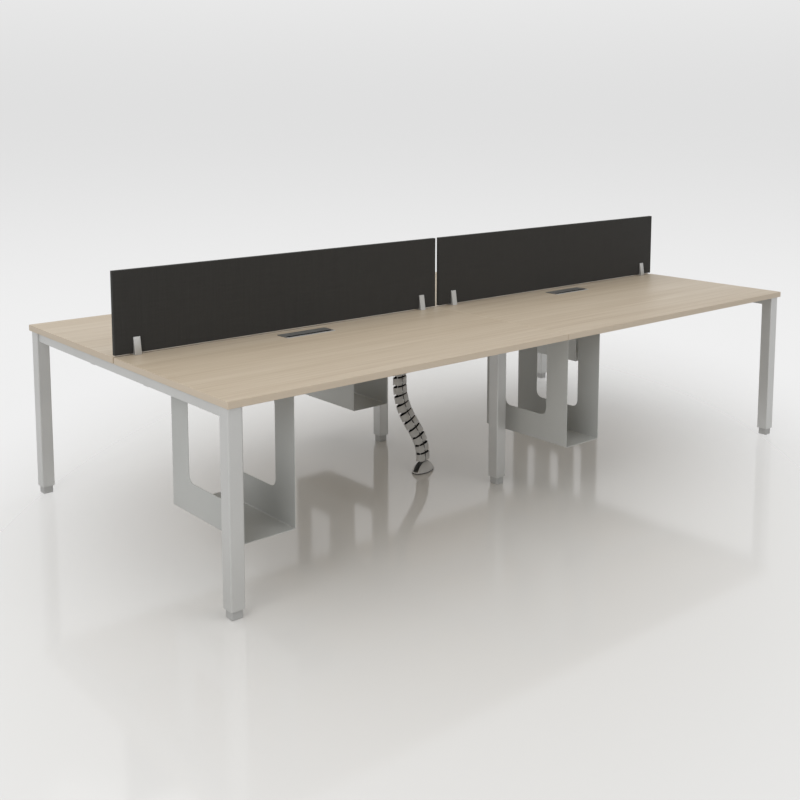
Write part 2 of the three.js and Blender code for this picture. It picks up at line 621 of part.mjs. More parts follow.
// The riser hangs in one upright plane, which is the group's own XZ plane.
function riser() {
  const group = new THREE.Group();
  group.position.set(RISER_X, RISER_Y, 0);
  group.rotation.z = radians(RISER_AZIMUTH);
  const leans = Array.from({ length: LINK_COUNT }, (_, index) => linkLean(index + 1));
  const firstBall = UNDERSIDE - HANGER_DROP;
  const lastBall = BASE_HEIGHT + BASE_BALL_RISE;
  const pitch = (firstBall - lastBall) / leans.reduce((sum, lean) => sum + Math.cos(lean), 0);
  const hanger = piece('riser_hanger', hangerGeometry(), FINISH.riser);
  const joint = new THREE.Vector3(0, 0, firstBall);
  hanger.position.copy(joint);
  group.add(hanger);
  const link = vertebraGeometry(pitch);
  leans.forEach((lean, index) => {
    const vertebra = piece(`riser_vertebra_${String(index + 1).padStart(2, '0')}`, link, FINISH.riser);
    vertebra.position.copy(joint);
    vertebra.rotation.y = -lean;
    group.add(vertebra);
    joint.add(new THREE.Vector3(pitch * Math.sin(lean), 0, -pitch * Math.cos(lean)));
  });
  const base = piece('riser_base', baseGeometry(), FINISH.riser);
  base.position.copy(joint);
  group.add(base);
  return group;
}

const desk = new THREE.Group();
const farSide = deskSide('far', ['right', 'left']);
farSide.rotation.z = Math.PI;
desk.add(deskSide('near', ['left', 'right']), farSide, frames(), screens(), riser());

export default desk;
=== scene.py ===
import json
import math

import bmesh
import bpy
from mathutils import Matrix, Vector


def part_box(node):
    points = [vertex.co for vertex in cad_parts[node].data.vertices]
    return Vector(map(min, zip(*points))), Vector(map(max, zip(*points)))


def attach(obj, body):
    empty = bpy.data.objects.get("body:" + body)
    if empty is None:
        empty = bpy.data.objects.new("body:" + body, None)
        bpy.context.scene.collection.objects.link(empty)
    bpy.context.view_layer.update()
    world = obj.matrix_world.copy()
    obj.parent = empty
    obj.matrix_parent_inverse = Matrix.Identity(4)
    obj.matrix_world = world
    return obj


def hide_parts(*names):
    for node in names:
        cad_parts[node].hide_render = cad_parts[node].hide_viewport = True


# Bench desk with four seats: the finishes of its solids, and the small fittings that are made here.
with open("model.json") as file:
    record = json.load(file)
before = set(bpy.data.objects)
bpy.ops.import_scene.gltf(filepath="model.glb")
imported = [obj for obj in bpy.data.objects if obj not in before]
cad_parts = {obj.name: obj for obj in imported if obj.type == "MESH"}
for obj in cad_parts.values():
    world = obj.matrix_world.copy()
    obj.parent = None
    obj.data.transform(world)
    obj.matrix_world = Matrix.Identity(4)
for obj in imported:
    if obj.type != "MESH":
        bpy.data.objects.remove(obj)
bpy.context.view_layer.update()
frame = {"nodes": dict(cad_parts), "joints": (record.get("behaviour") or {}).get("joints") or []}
nodes = frame["nodes"]
scene = bpy.context.scene
MM = 0.001


# Finishes

def tone(red, green, blue):
    """A colour given by its screen levels, 0 to 255, as a shader takes it."""
    def linear(level):
        share = level / 255
        return share / 12.92 if share <= 0.04045 else ((share + 0.055) / 1.055) ** 2.4
    return (linear(red), linear(green), linear(blue), 1)


def shaded(colour, share):
    """A colour made lighter or darker by a share."""
    return tuple(min(channel * share, 1) for channel in colour[:3]) + (1,)


def added(tree, kind, inputs, **settings):
    """A new shader node. Each of its inputs is a value or a socket to link."""
    node = tree.nodes.new(kind)
    for name, value in settings.items():
        setattr(node, name, value)
    for socket, value in inputs.items():
        if isinstance(value, bpy.types.NodeSocket):
            tree.links.new(value, node.inputs[socket])
        else:
            node.inputs[socket].default_value = value
    return node


class Finish:
    """A material on Object coordinates, built up node by node."""

    def __init__(self, name, roughness, metallic=0.0):
        self.material = bpy.data.materials.new(name)
        self.material.use_nodes = True
        self.tree = self.material.node_tree
        self.shader = self.tree.nodes["Principled BSDF"]
        self.shader.inputs["Roughness"].default_value = roughness
        self.shader.inputs["Metallic"].default_value = metallic
        coordinates = self.tree.nodes.new("ShaderNodeTexCoord")
        self.place = coordinates.outputs["Object"]
        self.facing = coordinates.outputs["Normal"]

    def node(self, kind, inputs, **settings):
        return added(self.tree, kind, inputs, **settings)

    def stretched(self, place, scale, offset=(0, 0, 0)):
        return self.node("ShaderNodeMapping", {"Vector": place, "Scale": scale, "Location": offset}).outputs[0]

    def noise(self, place, scale=1.0, detail=2.0, roughness=0.5, distortion=0.0):
        inputs = {"Vector": place, "Scale": scale, "Detail": detail, "Roughness": roughness, "Distortion": distortion}
        return self.node("ShaderNodeTexNoise", inputs).outputs[0]

    def math(self, operation, first, second=0.0):
        return self.node("ShaderNodeMath", {0: first, 1: second}, operation=operation).outputs[0]

    def fitted(self, value, low, high, to_low, to_high):
        inputs = {"Value": value, "From Min": low, "From Max": high, "To Min": to_low, "To Max": to_high}
        return self.node("ShaderNodeMapRange", inputs).outputs[0]

    def axes(self, vector):
        return self.node("ShaderNodeSeparateXYZ", {0: vector}).outputs

    def point(self, x, y, z):
        return self.node("ShaderNodeCombineXYZ", {0: x, 1: y, 2: z}).outputs[0]

    def chosen(self, share, first, second):
        """First where share is 0 and second where it is 1, for plain numbers."""
        inputs = {"Factor": share, 2: first, 3: second}
        return self.node("ShaderNodeMix", inputs, data_type="FLOAT").outputs[0]

    def blended(self, share, first, second):
        """The same for colours."""
        inputs = {0: share, 6: first, 7: second}
        return self.node("ShaderNodeMix", inputs, data_type="RGBA").outputs[2]

    def colours(self, value, *stops):
        """A colour for each value, from stops of (value, colour)."""
        ramp = self.node("ShaderNodeValToRGB", {0: value})
        elements = ramp.color_ramp.elements
        while len(elements) < len(stops):
            elements.new(0.5)
        for element, (position, colour) in zip(elements, stops):
            element.position = position
            element.color = colour
        return ramp.outputs[0]

    def relief(self, height, depth):
        inputs = {"Height": height, "Strength": 1.0, "Distance": depth}
        return self.node("ShaderNodeBump", inputs).outputs[0]

    def surface(self, **sockets):
        names = {"colour": "Base Color", "roughness": "Roughness", "metallic": "Metallic", "normal": "Normal"}
        for name, value in sockets.items():
            self.tree.links.new(value, self.shader.inputs[names[name]])
        return self.material


def oak_laminate(name, shift):
    """Light oak with its grain along the desk, and an edge band whose grain follows the edge."""
    oak = Finish(name, roughness=0.45)
    x, y, z = oak.axes(oak.place)
    facing_x, _, facing_z = oak.axes(oak.facing)
    on_end = oak.math("GREATER_THAN", oak.math("ABSOLUTE", facing_x), 0.8)
    on_side = oak.math("LESS_THAN", oak.math("ABSOLUTE", facing_z), 0.5)
    place = oak.point(oak.chosen(on_end, x, y), oak.chosen(on_end, y, x), z)
    figure = oak.noise(oak.stretched(place, (0.55, 6.5, 6.5), shift), detail=3, distortion=1.1)
    streak = oak.noise(oak.stretched(place, (1.5, 85, 85), shift), detail=5, roughness=0.62)
    fibre = oak.noise(oak.stretched(place, (9, 620, 620), shift), detail=3, roughness=0.6)
    grain = oak.math("ADD", oak.math("MULTIPLY", figure, 0.45), oak.math("MULTIPLY", streak, 0.55))
    board = oak.colours(
        grain,
        (0.30, tone(181, 163, 139)), (0.46, tone(194, 178, 155)),
        (0.56, tone(200, 185, 163)), (0.72, tone(207, 193, 173)))
    pored = oak.blended(oak.fitted(fibre, 0.60, 0.74, 0, 0.35), board, tone(163, 143, 118))
    banded = oak.blended(oak.math("MULTIPLY", on_side, 0.7), pored, tone(209, 194, 174))
    height = oak.math("ADD", oak.math("MULTIPLY", fibre, 0.7), oak.math("MULTIPLY", streak, 0.3))
    return oak.surface(
        colour=banded,
        roughness=oak.fitted(grain, 0.3, 0.7, 0.50, 0.40),
        normal=oak.relief(height, 0.05 * MM))


def powder_coat(name, colour, roughness=0.42, metallic=0.6):
    """Silver powder coat: a fine peel, a slow drift in tone and a little rub near the floor."""
    coat = Finish(name, roughness, metallic)
    peel = coat.noise(coat.place, scale=900, detail=3)
    flake = coat.noise(coat.place, scale=2600, detail=1)
    drift = coat.noise(coat.place, scale=2.2, detail=3)
    plain = coat.colours(drift, (0.3, shaded(colour, 0.95)), (0.7, shaded(colour, 1.05)))
    sparkled = coat.blended(coat.fitted(flake, 0.62, 0.75, 0, 0.3), plain, shaded(colour, 1.3))
    height = coat.axes(coat.place)[2]
    scuff = coat.noise(coat.stretched(coat.place, (60, 60, 9)), detail=4, roughness=0.7)
    worn = coat.math("MULTIPLY", coat.fitted(scuff, 0.55, 0.75, 0, 1), coat.fitted(height, 0.02, 0.16, 0.25, 0))
    rubbed = coat.blended(worn, sparkled, shaded(colour, 0.72))
    return coat.surface(
        colour=rubbed,
        roughness=coat.fitted(peel, 0.3, 0.7, roughness - 0.05, roughness + 0.07),
        normal=coat.relief(peel, 0.03 * MM))


def moulded_plastic(name, colour, roughness=0.5, grain=1700):
    """Moulded plastic with a sparked texture and faint flow marks."""
    plastic = Finish(name, roughness)
    spark = plastic.noise(plastic.place, scale=grain, detail=2, roughness=0.6)
    flow = plastic.noise(plastic.stretched(plastic.place, (14, 14, 38)), detail=3, distortion=0.6)
    mottled = plastic.colours(flow, (0.3, shaded(colour, 0.93)), (0.7, shaded(colour, 1.07)))
    return plastic.surface(
        colour=mottled,
        roughness=plastic.fitted(spark, 0.3, 0.7, roughness - 0.06, roughness + 0.08),
        normal=plastic.relief(spark, 0.04 * MM))


def brushed_aluminium(name, colour, stretch, roughness, metallic):
    """Anodised aluminium with its brush lines along the axis that stretch leaves long."""
    metal = Finish(name, roughness, metallic)
    lines = metal.noise(metal.stretched(metal.place, stretch), detail=4, roughness=0.7)
    haze = metal.noise(metal.place, scale=9, detail=3)
    lined = metal.colours(lines, (0.25, shaded(colour, 0.86)), (0.75, shaded(colour, 1.12)))
    hazed = metal.blended(metal.fitted(haze, 0.4, 0.7, 0, 0.2), lined, shaded(colour, 0.9))
    return metal.surface(
        colour=hazed,
        roughness=metal.fitted(lines, 0.25, 0.75, roughness + 0.08, roughness - 0.05),
        normal=metal.relief(lines, 0.02 * MM))


def power_box_finish(name, frame_colour, painted_highlight_colour, tub_colour, rim_level, painted_highlight_start):
    """Dark moulded tub. Its frame, above the rim level, is brushed aluminium, with a painted highlight along its edge
    on the user's side, coloured lighter than the rest of the frame.
    """
    box = Finish(name, roughness=0.4)
    _, y, z = box.axes(box.place)
    rim = box.math("GREATER_THAN", z, rim_level)
    # Painted highlight: on the user's side, the frame's edge takes a lighter colour than the rest of the frame.
    painted_highlight_band = box.math("GREATER_THAN", box.math("ABSOLUTE", y), painted_highlight_start)
    lines = box.noise(box.stretched(box.place, (12, 900, 900)), detail=4, roughness=0.7)
    spark = box.noise(box.place, scale=1700, detail=2)
    metal = box.colours(lines, (0.25, shaded(frame_colour, 0.86)), (0.75, shaded(frame_colour, 1.1)))
    # The lighter colour of the painted highlight on the frame's user-side edge.
    painted_highlight = box.colours(lines, (0.25, shaded(painted_highlight_colour, 0.86)), (0.75, shaded(painted_highlight_colour, 1.1)))
    plastic = box.colours(spark, (0.3, shaded(tub_colour, 0.9)), (0.7, shaded(tub_colour, 1.1)))
    height = box.chosen(rim, spark, lines)
    return box.surface(
        colour=box.blended(rim, plastic, box.blended(painted_highlight_band, metal, painted_highlight)),
        roughness=box.chosen(
            rim, box.fitted(spark, 0.3, 0.7, 0.48, 0.6), box.fitted(lines, 0.25, 0.75, 0.4, 0.3)),
        metallic=box.math("MULTIPLY", rim, 0.4),
        normal=box.relief(height, 0.03 * MM))


def woven_fabric(name, colour, pitch=1.4 * MM):
    """Charcoal plain weave: over and under threads, flecked yarns, painted shade in the hollows between the threads,
    and a soft sheen.
    """
    cloth = Finish(name, roughness=0.9)
    cloth.shader.inputs["Sheen Weight"].default_value = 0.08
    cloth.shader.inputs["Sheen Roughness"].default_value = 0.5
    cloth.shader.inputs["Specular IOR Level"].default_value = 0.25
    x, y, z = cloth.axes(cloth.place)
    along = cloth.math("DIVIDE", cloth.math("ADD", x, y), pitch)
    up = cloth.math("DIVIDE", z, pitch)
    warp = cloth.math("ABSOLUTE", cloth.math("SINE", cloth.math("MULTIPLY", along, math.pi)))
    weft = cloth.math("ABSOLUTE", cloth.math("SINE", cloth.math("MULTIPLY", up, math.pi)))
    steps = cloth.math("ADD", cloth.math("FLOOR", along), cloth.math("FLOOR", up))
    over = cloth.math("MODULO", cloth.math("ABSOLUTE", steps), 2.0)
    height = cloth.chosen(over, warp, weft)
    yarn_x = cloth.noise(cloth.stretched(cloth.place, (700, 700, 6)), detail=2)
    yarn_z = cloth.noise(cloth.stretched(cloth.place, (6, 6, 700)), detail=2)
    yarn = cloth.chosen(over, yarn_x, yarn_z)
    fleck = cloth.noise(cloth.place, scale=520, detail=2)
    dyed = cloth.colours(yarn, (0.3, shaded(colour, 0.78)), (0.7, shaded(colour, 1.24)))
    flecked = cloth.blended(cloth.fitted(fleck, 0.58, 0.72, 0, 0.3), dyed, shaded(colour, 1.9))
    # Painted shade: where the threads dip, the colour is darkened towards a deep charcoal.
    painted_weave_shade = cloth.blended(cloth.fitted(height, 0.0, 0.45, 0.4, 0), flecked, shaded(colour, 0.45))
    return cloth.surface(colour=painted_weave_shade, normal=cloth.relief(height, 0.25 * MM))


def brush_bristle(name):
    """Black bristles, each a little different."""
    bristle = Finish(name, roughness=0.7)
    strands = bristle.noise(bristle.stretched(bristle.place, (1500, 60, 60)), detail=2)
    return bristle.surface(
        colour=bristle.colours(strands, (0.3, tone(8, 8, 8)), (0.7, tone(28, 27, 26))),
        roughness=bristle.fitted(strands, 0.3, 0.7, 0.6, 0.8))


def zinc_plate(name):
    """Bright zinc on screws, a little clouded."""
    zinc = Finish(name, roughness=0.35, metallic=0.9)
    cloud = zinc.noise(zinc.place, scale=240, detail=3)
    return zinc.surface(
        colour=zinc.colours(cloud, (0.3, tone(150, 150, 148)), (0.7, tone(190, 190, 186))),
        roughness=zinc.fitted(cloud, 0.3, 0.7, 0.28, 0.42))


FRAME_COAT = powder_coat("frame_powder_coat", tone(203, 203, 201))
SHEET_COAT = powder_coat("holder_powder_coat", tone(190, 191, 188), roughness=0.5, metallic=0.25)
FOOT_PAINT = moulded_plastic("foot_paint", tone(184, 184, 182))
SCREEN_CLOTH = woven_fabric("screen_fabric", tone(53, 52, 50))
CLAMP_METAL = brushed_aluminium(
    "clamp_aluminium", tone(190, 190, 188), stretch=(900, 900, 14), roughness=0.42, metallic=0.7)
LID_METAL = brushed_aluminium(
    "lid_aluminium", tone(138, 138, 135), stretch=(12, 900, 900), roughness=0.32, metallic=0.4)
# The lighter colour and the reach of the painted highlight on each frame's user-side edge.
BOX_FINISH = power_box_finish(
    "power_box", frame_colour=tone(135, 135, 132), painted_highlight_colour=tone(208, 208, 206), tub_colour=tone(44, 44, 44),
    rim_level=732.2 * MM, painted_highlight_start=131 * MM)
LID_EDGE_DARK = moulded_plastic("lid_edge_dark", tone(20, 20, 20), roughness=0.8)
RISER_GREY = moulded_plastic("riser_grey", tone(196, 194, 190), roughness=0.42)
RISER_BLACK = moulded_plastic("riser_black", tone(24, 24, 24), roughness=0.55)
RISER_DARK = moulded_plastic("riser_dark", tone(105, 104, 101), roughness=0.55)
SOCKET_BLACK = moulded_plastic("socket_black", tone(34, 34, 35), roughness=0.38, grain=2600)
BRISTLE = brush_bristle("brush_bristle")
ZINC = zinc_plate("zinc_screw")


# Solids that keep their shape

WELD_DISTANCE = 0.01 * MM
HARD_EDGE = math.radians(35)


def softened(node, width):
    """Rounds a solid's hard edges a little, without touching its mesh."""
    weld = node.modifiers.new("weld", "WELD")
    weld.merge_threshold = WELD_DISTANCE
    bevel = node.modifiers.new("soft_edges", "BEVEL")
    bevel.width = width
    bevel.segments = 2
    bevel.profile = 0.5
    bevel.limit_method = "ANGLE"
    bevel.angle_limit = HARD_EDGE
    bevel.harden_normals = False


def dressed(ending, material, edge=0.0):
    """Gives a finish, and soft edges of a width, to every solid whose name has this ending."""
    for name, node in nodes.items():
        if name.endswith(ending):
            node.data.materials.clear()
            node.data.materials.append(material)
            if edge:
                softened(node, edge)


WORKTOP_GRAIN = {
    "near_left_worktop": (0.0, 0.0, 0.0),
    "near_right_worktop": (7.3, 2.1, 0.4),
    "far_left_worktop": (3.9, 5.6, 1.2),
    "far_right_worktop": (11.2, 8.4, 2.3),
}
for top_name, grain_shift in WORKTOP_GRAIN.items():
    dressed(top_name, oak_laminate(top_name.replace("worktop", "oak"), grain_shift), 0.5 * MM)
dressed("_leg", FRAME_COAT, 1.0 * MM)
dressed("_cross_beam", FRAME_COAT, 0.8 * MM)
dressed("_rail", FRAME_COAT, 0.8 * MM)
dressed("_foot", FOOT_PAINT, 0.8 * MM)
dressed("_computer_holder", SHEET_COAT, 0.4 * MM)
dressed("_screen", SCREEN_CLOTH, 1.2 * MM)
dressed("_clamp", CLAMP_METAL, 0.5 * MM)
dressed("_power_tub", BOX_FINISH, 0.3 * MM)
dressed("_power_lid", LID_METAL, 0.3 * MM)
dressed("riser_hanger", RISER_GREY)


# Making pieces

SHARP_EDGE = math.radians(38)
MERGE_DISTANCE = 0.001 * MM


def smoothed(mesh):
    """Shades a mesh smoothly between its sharp edges."""
    mesh.shade_smooth()
    mesh.set_sharp_from_angle(angle=SHARP_EDGE)


def in_metres(profile, size=1.0):
    """A profile given in millimetres, at a size."""
    return [(first * size * MM, second * size * MM) for first, second in profile]


def made(name, mesh_data, body, slot, *materials):
    """A finished piece from its bmesh, with the materials given. It rides on a body. Its slot is not used."""
    mesh = bpy.data.meshes.new(name)
    mesh_data.to_mesh(mesh)
    mesh_data.free()
    for material in materials:
        mesh.materials.append(material)
    smoothed(mesh)
    piece = bpy.data.objects.new(name, mesh)
    scene.collection.objects.link(piece)
    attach(piece, body)
    return piece


def moved(bm, geometry, matrix):
    """Moves the vertices among some geometry."""
    verts = [item for item in geometry if isinstance(item, bmesh.types.BMVert)]
    bmesh.ops.transform(bm, matrix=matrix, verts=verts)


def turned(bm, profile, steps, finish=0):
    """A profile of (radius, height) turned round the vertical axis into a closed skin."""
    points = [bm.verts.new((radius, 0, height)) for radius, height in profile]
    line = [bm.edges.new(pair) for pair in zip(points, points[1:])]
    before = set(bm.faces)
    bmesh.ops.spin(
        bm, geom=points + line, cent=(0, 0, 0), axis=(0, 0, 1), angle=math.tau, steps=steps, use_merge=True)
    faces = [face for face in bm.faces if face not in before]
    verts = list({vert for face in faces for vert in face.verts})
    bmesh.ops.remove_doubles(bm, verts=verts, dist=MERGE_DISTANCE)
    faces = [face for face in bm.faces if face not in before]
    bmesh.ops.recalc_face_normals(bm, faces=faces)
    for face in faces:
        face.material_index = finish
    return list({vert for face in faces for vert in face.verts})


def block(bm, low, high, edge, finish=0):
    """A box between two corners with rounded edges."""
    size = Vector(high) - Vector(low)
    place = Matrix.Translation((Vector(low) + Vector(high)) / 2) @ Matrix.Diagonal((*size, 1))
    before = set(bm.faces)
    verts = bmesh.ops.create_cube(bm, size=1, matrix=place)["verts"]
    edges = list({line for vert in verts for line in vert.link_edges})
    bmesh.ops.bevel(bm, geom=edges, offset=edge, segments=2, profile=0.5, affect="EDGES", material=-1)
    faces = [face for face in bm.faces if face not in before]
    for face in faces:
        face.material_index = finish
    return list({vert for face in faces for vert in face.verts})


def carved(piece, cutter):
    """Takes a cutter out of a piece. The cut faces keep the cutter's finish."""
    cut = piece.modifiers.new("cut", "BOOLEAN")
    cut.operation = "DIFFERENCE"
    cut.solver = "EXACT"
    cut.material_mode = "TRANSFER"
    cut.object = cutter
    shown = piece.evaluated_get(bpy.context.evaluated_depsgraph_get())
    mesh = bpy.data.meshes.new_from_object(shown)
    mesh.name = piece.name
    piece.modifiers.clear()
    piece.data = mesh
    smoothed(mesh)
    bpy.data.objects.remove(cutter)


# Cable riser

SHELL_LENGTH = 93 * MM
SHELL_WIDTH = 44 * MM
SHELL_AZIMUTH = math.radians(18)
SHELL_WALL = 2.5 * MM
SHELL_SPACING = 8.5 * MM
SHELL_EDGE = 0.8 * MM
SLIT_WIDTH = 4.5 * MM
SLIT_LEAN = math.radians(-30)
RIM_RELIEF = 8 * MM
LINER_WALL = 0.8 * MM
LINER_DEPTH = 1.2 * MM
LINER_EDGE = 0.2 * MM
WEB_WIDTH = 3 * MM
WEB_HEIGHT = 16 * MM
WEB_RISE = 12 * MM
WEB_PLAY = 0.2 * MM
WEB_EDGE = 0.5 * MM
BALL_RADIUS = 6.5 * MM
BALL_NECK = 3.6 * MM
CUP_RADIUS = 10.5 * MM
CUP_RIM = 3.5 * MM
CUP_CAVITY = 7.5 * MM
CUP_MOUTH = 7.0 * MM
CUP_EDGE = 0.6 * MM
CUP_FLOOR = -CUP_CAVITY - SHELL_WALL
SHELL_STEPS = 48
CORE_STEPS = 24


def arc(centre_height, radius, start, end, count):
    """Points of a profile on a circle, from one angle to another, in degrees above its middle."""
    angles = [math.radians(start + (end - start) * index / count) for index in range(count + 1)]
    return [(radius * math.cos(angle), centre_height + radius * math.sin(angle)) for angle in angles]


def cup_rim():
    """Points of a cup's profile, from the outside of its rim to the bottom of its cavity."""
    return [
        (CUP_RADIUS, CUP_RIM - CUP_EDGE),
        (CUP_RADIUS - CUP_EDGE, CUP_RIM),
        (math.sqrt(CUP_MOUTH ** 2 - CUP_RIM ** 2), CUP_RIM),
        *arc(0, CUP_CAVITY, 0, -90, 8),
    ]


def oval_half(bm, length, width, wall, low, high, edge, relief, finish=0):
    """Half of an oval ring between the slits in its long sides. Its rims are rounded, and its lower rim is
    cut back at the end, from a point on it."""
    ring = bmesh.new()
    outline = bmesh.ops.create_circle(ring, cap_ends=True, radius=0.5, segments=SHELL_STEPS)["verts"]
    bmesh.ops.scale(ring, vec=(length, width, 1), verts=outline)
    bmesh.ops.translate(ring, vec=(0, 0, low), verts=outline)
    face = next(iter(ring.faces))
    bmesh.ops.inset_region(ring, faces=[face], thickness=wall, use_boundary=True, use_even_offset=True)
    bmesh.ops.delete(ring, geom=[face], context="FACES")
    risen = bmesh.ops.extrude_face_region(ring, geom=list(ring.faces), use_keep_orig=True)["geom"]
    moved(ring, risen, Matrix.Translation((0, 0, high - low)))
    bmesh.ops.recalc_face_normals(ring, faces=list(ring.faces))
    rims = [line for line in ring.edges if line.calc_face_angle(0) > math.radians(60)]
    bmesh.ops.bevel(ring, geom=rims, offset=edge, segments=3, profile=0.5, affect="EDGES", material=-1)
    across_slit = Vector((math.cos(SLIT_LEAN), math.sin(SLIT_LEAN), 0))
    for face in ring.faces:
        face.material_index = finish
    cuts = ((relief, Vector((-1, 0, 1)), finish), (across_slit * SLIT_WIDTH / 2, across_slit, 1))
    for point, inward, cut_finish in cuts:
        everything = [*ring.verts, *ring.edges, *ring.faces]
        bmesh.ops.bisect_plane(ring, geom=everything, plane_co=point, plane_no=inward, clear_inner=True)
        rim = [line for line in ring.edges if line.is_boundary]
        for face in bmesh.ops.holes_fill(ring, edges=rim)["faces"]:
            face.material_index = cut_finish
    bmesh.ops.recalc_face_normals(ring, faces=list(ring.faces))
    joined(bm, ring)


def joined(bm, other):
    """Adds another bmesh to this one."""
    mesh = bpy.data.meshes.new("joined")
    other.to_mesh(mesh)
    other.free()
    bm.from_mesh(mesh)
    bpy.data.meshes.remove(mesh)


def vertebra_mesh(pitch, turn):
    """A vertebra round its upper joint: two half shells, a dark liner, a web, and a core with cup and ball."""
    bm = bmesh.new()
    top, bottom = -SHELL_SPACING / 2, SHELL_SPACING / 2 - pitch
    relief = Vector((SHELL_LENGTH / 2 - RIM_RELIEF, 0, bottom))
    oval_half(bm, SHELL_LENGTH, SHELL_WIDTH, SHELL_WALL, bottom, top, SHELL_EDGE, relief)
    inside = SHELL_LENGTH - 2 * SHELL_WALL, SHELL_WIDTH - 2 * SHELL_WALL
    oval_half(bm, *inside, LINER_WALL, bottom + LINER_DEPTH, top - LINER_DEPTH, LINER_EDGE, relief, finish=1)
    half = [*bm.verts, *bm.edges, *bm.faces]
    moved(bm, bmesh.ops.duplicate(bm, geom=half)["geom"], Matrix.Rotation(math.pi, 4, "Z"))
    web_reach = SHELL_LENGTH / 2 - SHELL_WALL - WEB_PLAY
    web_low = (-web_reach, -WEB_WIDTH / 2, WEB_RISE - pitch)
    web_high = (web_reach, WEB_WIDTH / 2, WEB_RISE - pitch + WEB_HEIGHT)
    block(bm, web_low, web_high, WEB_EDGE, finish=1)
    turned(bm, [
        *arc(-pitch, BALL_RADIUS, -90, math.degrees(math.acos(BALL_NECK / BALL_RADIUS)), 14),
        (CUP_RADIUS, CUP_FLOOR),
        *cup_rim(),
    ], CORE_STEPS, finish=1)
    bmesh.ops.rotate(bm, cent=(0, 0, 0), matrix=Matrix.Rotation(turn, 3, "Z"), verts=list(bm.verts))
    return bm


def riser_places():
    """Each riser joint's point, from the first ball down to the base."""
    joints = [joint for joint in frame["joints"] if joint["child"].startswith("riser_")]
    points = {joint["child"]: Vector(joint["pos_m"]) for joint in joints}
    return [(name, points[name]) for name in sorted(points, key=lambda name: -points[name].z)]


def riser_vertebrae():
    """The vertebrae, each with the lean of its link, in place of their solids."""
    places = riser_places()
    swing = places[-1][1] - places[0][1]
    azimuth = math.atan2(swing.y, swing.x)
    for (name, joint), (_, below) in zip(places, places[1:]):
        link = below - joint
        lean = math.atan2(math.hypot(link.x, link.y), -link.z)
        bm = vertebra_mesh(link.length, SHELL_AZIMUTH - azimuth)
        bend = Matrix.Rotation(azimuth, 4, "Z") @ Matrix.Rotation(-lean, 4, "Y")
        stance = Matrix.Translation(joint) @ bend
        bmesh.ops.transform(bm, matrix=stance, verts=list(bm.verts))
        piece = made(f"{name}_moulding", bm, name, "riser_plastic", RISER_GREY, RISER_BLACK)
        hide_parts(name)


BASE_LENGTH = 142 * MM
BASE_WIDTH = 80 * MM
BASE_TOP_LENGTH = 52 * MM
DOME_CURVE = 76 * MM
DOME_STEPS = 16
BASE_HEIGHT = 44 * MM
BASE_RIM = 5 * MM
BASE_LIFT = 1.5 * MM
BASE_BALL_RISE = 4 * MM
BASE_STEPS = 64
DOME_EDGE = 0.8 * MM
RING_GAP = 0.3 * MM
RING_PLAY = 0.2 * MM
RING_SET_BACK = 0.6 * MM
RING_EDGE = 0.8 * MM
NOTCH_WIDTH = 25 * MM
NOTCH_FLOOR = 10 * MM
NOTCH_TOP = 10 * MM
NOTCH_EDGE = 1.2 * MM
CUP_SEAT = 1 * MM
CUT_EXCESS = 2 * MM


def dome_flank(floor):
    """Points of the dome's side, seen along its length, on an arc from the rim up to the flat top."""
    rim = Vector((BASE_LENGTH / 2, floor + BASE_RIM))
    across = Vector((BASE_TOP_LENGTH / 2, floor + BASE_HEIGHT)) - rim
    slope = math.atan2(across.y, across.x) - math.pi / 2
    half_arc = math.asin(across.length / 2 / DOME_CURVE)
    centre = rim + across / 2 - DOME_CURVE * math.cos(half_arc) * Vector((math.cos(slope), math.sin(slope)))
    angles = [slope + (2 * index / DOME_STEPS - 1) * half_arc for index in range(DOME_STEPS + 1)]
    return [centre + DOME_CURVE * Vector((math.cos(angle), math.sin(angle))) for angle in angles]


